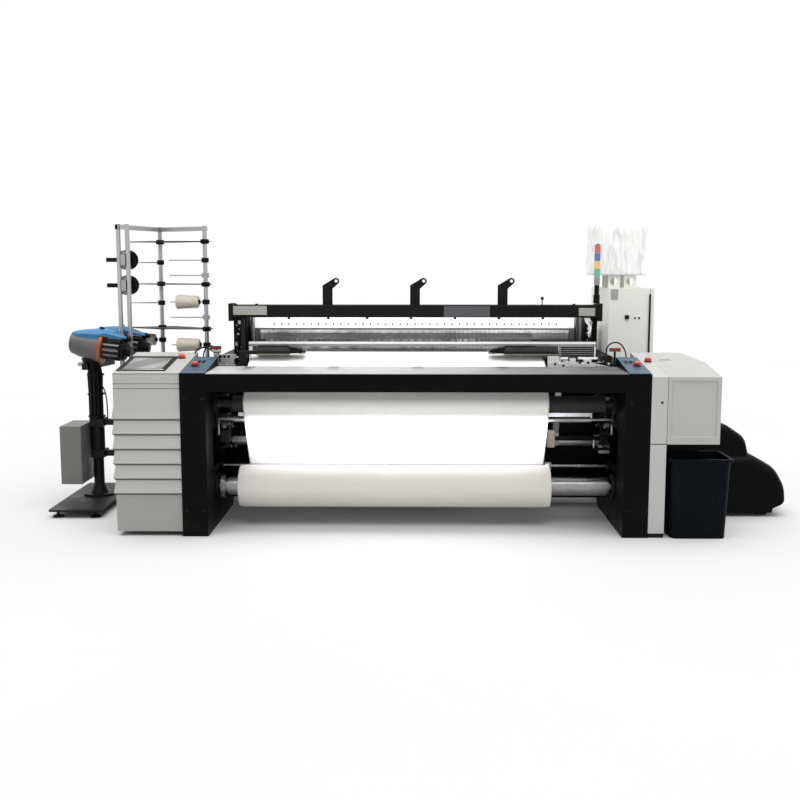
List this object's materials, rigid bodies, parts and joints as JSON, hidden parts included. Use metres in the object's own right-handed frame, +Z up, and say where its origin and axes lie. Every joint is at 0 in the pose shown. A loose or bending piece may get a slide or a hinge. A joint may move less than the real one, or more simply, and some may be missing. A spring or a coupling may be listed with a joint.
{
  "type": "power loom",
  "caption": "Air-jet weaving machine with side frames, warp beam, heald frames, rocking sley and reed, take-up and cloth roll, weft feeders and creel, cabinets and covers.",
  "frame": {"origin": "on the floor under the middle of the whole machine's box", "axes": "+X to the weaver's right along the loom's width, +Y from the weaver's side to the warp side, +Z up"},
  "size_m": [4.343, 2.046, 1.731],
  "materials": {
    "frame_black": "satin black paint",
    "cabinet_grey": "light grey powder coat",
    "cabinet_white": "off-white powder coat",
    "panel_blue": "dark blue paint",
    "steel_plate": "brushed",
    "steel_dark": "oiled",
    "aluminium_bright": "anodised",
    "chrome_roller": "ground and plated",
    "roller_rubber": "grooved rubber",
    "cloth_white": "plain weave",
    "warp_white": "parallel yarns",
    "cone_yarn": "cross wound yarn",
    "bin_plastic": "moulded",
    "cover_black": "moulded",
    "feeder_grey": "moulded",
    "feeder_blue": "moulded",
    "feeder_orange": "moulded",
    "button_red": "moulded",
    "screen_glass": "screen in a grey bezel",
    "clamp_black": "moulded",
    "cable_black": "smooth"
  },
  "bodies": {
    "frame": {"side_frame_left": "frame_black", "side_frame_right": "frame_black", "breast_beam": "frame_black", "breast_plate": "steel_plate", "lower_beam": "frame_black", "rear_beam": "frame_black", "lintel": "frame_black", "lintel_posts": "frame_black", "left_cabinet": "cabinet_grey", "operator_screen": "screen_glass", "corner_panels": "panel_blue", "right_strip_cover": "cabinet_white", "right_cabinet": "cabinet_grey", "electrical_cabinet": "cabinet_white", "upper_box": "cabinet_white", "signal_tower": "clamp_black", "drive_cover_lower": "cover_black", "drive_cover_upper": "cover_black", "waste_bin": "bin_plastic", "feeder_base": "steel_dark", "feeder_post": "steel_dark", "feeder_box": "cabinet_grey", "feeder_housings": "feeder_grey", "feeder_covers": "feeder_blue", "feeder_drums": "steel_plate", "creel_frame": "aluminium_bright", "creel_trays": "clamp_black", "creel_holders": "clamp_black", "yarn_cones": "cone_yarn", "temples": "steel_dark", "nozzle_unit": "steel_dark", "selvedge_unit": "steel_dark", "cloth_web": "cloth_white", "warp_sheet": "warp_white", "warp_stop_motion": "steel_plate", "cloth_guides": "chrome_roller", "cables": "cable_black"},
    "sley": {"sley": "aluminium_bright", "reed": "steel_plate"},
    "heald_1": {"heald_frame_1": "aluminium_bright"},
    "heald_2": {"heald_frame_2": "aluminium_bright"},
    "heald_3": {"heald_frame_3": "aluminium_bright"},
    "heald_4": {"heald_frame_4": "aluminium_bright"},
    "warp_beam": {"warp_beam": "aluminium_bright", "warp_yarn": "warp_white"},
    "back_rest": {"back_rest_roller": "chrome_roller"},
    "take_up": {"take_up_roller": "roller_rubber"},
    "press": {"press_roller": "chrome_roller"},
    "cloth_beam": {"cloth_beam": "chrome_roller", "cloth_roll": "cloth_white"},
    "cabinet_door": {"electrical_cabinet_door": "cabinet_white"},
    "main_switch": {"main_switch": "clamp_black"},
    "feeder_disc_front": {"feeder_disc_front": "feeder_orange"},
    "feeder_disc_rear": {"feeder_disc_rear": "feeder_orange"},
    "cord_spool_upper": {"cord_spool_upper": "clamp_black"},
    "cord_spool_lower": {"cord_spool_lower": "clamp_black"},
    "stop_button_left": {"stop_button_left": "button_red"},
    "start_button_left": {"start_button_left": "button_red"},
    "start_button_right": {"start_button_right": "button_red"},
    "stop_button_right": {"stop_button_right": "button_red"}
  },
  "joints": [
    {"name": "warp_beam_turn", "type": "hinge", "parent": "frame", "child": "warp_beam", "pos_m": [-0.0185, 0.453, 0.462], "axis": [1, 0, 0], "continuous": true},
    {"name": "back_rest_turn", "type": "hinge", "parent": "frame", "child": "back_rest", "pos_m": [-0.0185, 0.653, 0.99], "axis": [1, 0, 0], "continuous": true},
    {"name": "take_up_turn", "type": "hinge", "parent": "frame", "child": "take_up", "pos_m": [-0.0185, -0.714, 0.699], "axis": [1, 0, 0], "continuous": true},
    {"name": "press_roller_turn", "type": "hinge", "parent": "frame", "child": "press", "pos_m": [-0.0185, -0.699, 0.609], "axis": [1, 0, 0], "continuous": true},
    {"name": "cloth_beam_turn", "type": "hinge", "parent": "frame", "child": "cloth_beam", "pos_m": [-0.0185, -0.687, 0.222], "axis": [1, 0, 0], "continuous": true},
    {"name": "sley_rock", "type": "hinge", "parent": "frame", "child": "sley", "pos_m": [-0.0185, -0.187, 0.4], "axis": [1, 0, 0], "range_deg": [0, 6.2]},
    {"name": "heald_1_lift", "type": "slide", "parent": "frame", "child": "heald_1", "axis": [0, 0, 1], "range_m": [-0.034, 0.034]},
    {"name": "heald_2_lift", "type": "slide", "parent": "frame", "child": "heald_2", "axis": [0, 0, 1], "range_m": [-0.037, 0.037]},
    {"name": "heald_3_lift", "type": "slide", "parent": "frame", "child": "heald_3", "axis": [0, 0, 1], "range_m": [-0.04, 0.04]},
    {"name": "heald_4_lift", "type": "slide", "parent": "frame", "child": "heald_4", "axis": [0, 0, 1], "range_m": [-0.0425, 0.0425]},
    {"name": "cabinet_door_hinge", "type": "hinge", "parent": "frame", "child": "cabinet_door", "pos_m": [1.5228, 0.338, 0.7], "axis": [0, 0, 1], "range_deg": [0, 110]},
    {"name": "main_switch_turn", "type": "hinge", "parent": "cabinet_door", "child": "main_switch", "pos_m": [1.3748, 0.335, 1.139], "axis": [0, 1, 0], "range_deg": [0, 90]},
    {"name": "feeder_disc_front_turn", "type": "hinge", "parent": "frame", "child": "feeder_disc_front", "pos_m": [-1.9355, -0.187, 0.972], "axis": [0.9925, 0, -0.1219], "continuous": true},
    {"name": "feeder_disc_rear_turn", "type": "hinge", "parent": "frame", "child": "feeder_disc_rear", "pos_m": [-1.8935, 0.103, 0.972], "axis": [0.9925, 0, -0.1219], "continuous": true},
    {"name": "cord_spool_upper_turn", "type": "hinge", "parent": "frame", "child": "cord_spool_upper", "pos_m": [-1.8305, 0.052, 1.51], "axis": [0, 1, 0], "continuous": true},
    {"name": "cord_spool_lower_turn", "type": "hinge", "parent": "frame", "child": "cord_spool_lower", "pos_m": [-1.8305, 0.052, 1.352], "axis": [0, 1, 0], "continuous": true},
    {"name": "stop_button_left_press", "type": "slide", "parent": "frame", "child": "stop_button_left", "axis": [0, 0.1391, -0.9903], "range_m": [0, 0.005], "stiffness_N_per_m": 1200, "springref_m": -0.004},
    {"name": "start_button_left_press", "type": "slide", "parent": "frame", "child": "start_button_left", "axis": [0, 0.1391, -0.9903], "range_m": [0, 0.005], "stiffness_N_per_m": 1200, "springref_m": -0.004},
    {"name": "start_button_right_press", "type": "slide", "parent": "frame", "child": "start_button_right", "axis": [0, 0.1391, -0.9903], "range_m": [0, 0.005], "stiffness_N_per_m": 1200, "springref_m": -0.004},
    {"name": "stop_button_right_press", "type": "slide", "parent": "frame", "child": "stop_button_right", "axis": [0, 0.1391, -0.9903], "range_m": [0, 0.005], "stiffness_N_per_m": 1200, "springref_m": -0.004}
  ],
  "couplings": [
    {"joint": "back_rest_turn", "follows": "warp_beam_turn", "ratio": 5.2419},
    {"joint": "take_up_turn", "follows": "warp_beam_turn", "ratio": 6.9149},
    {"joint": "press_roller_turn", "follows": "warp_beam_turn", "ratio": 19.118},
    {"joint": "cloth_beam_turn", "follows": "warp_beam_turn", "ratio": -2.7083},
    {"joint": "heald_2_lift", "follows": "heald_1_lift", "ratio": -1.08},
    {"joint": "heald_3_lift", "follows": "heald_1_lift", "ratio": 1.16},
    {"joint": "heald_4_lift", "follows": "heald_1_lift", "ratio": -1.24}
  ]
}
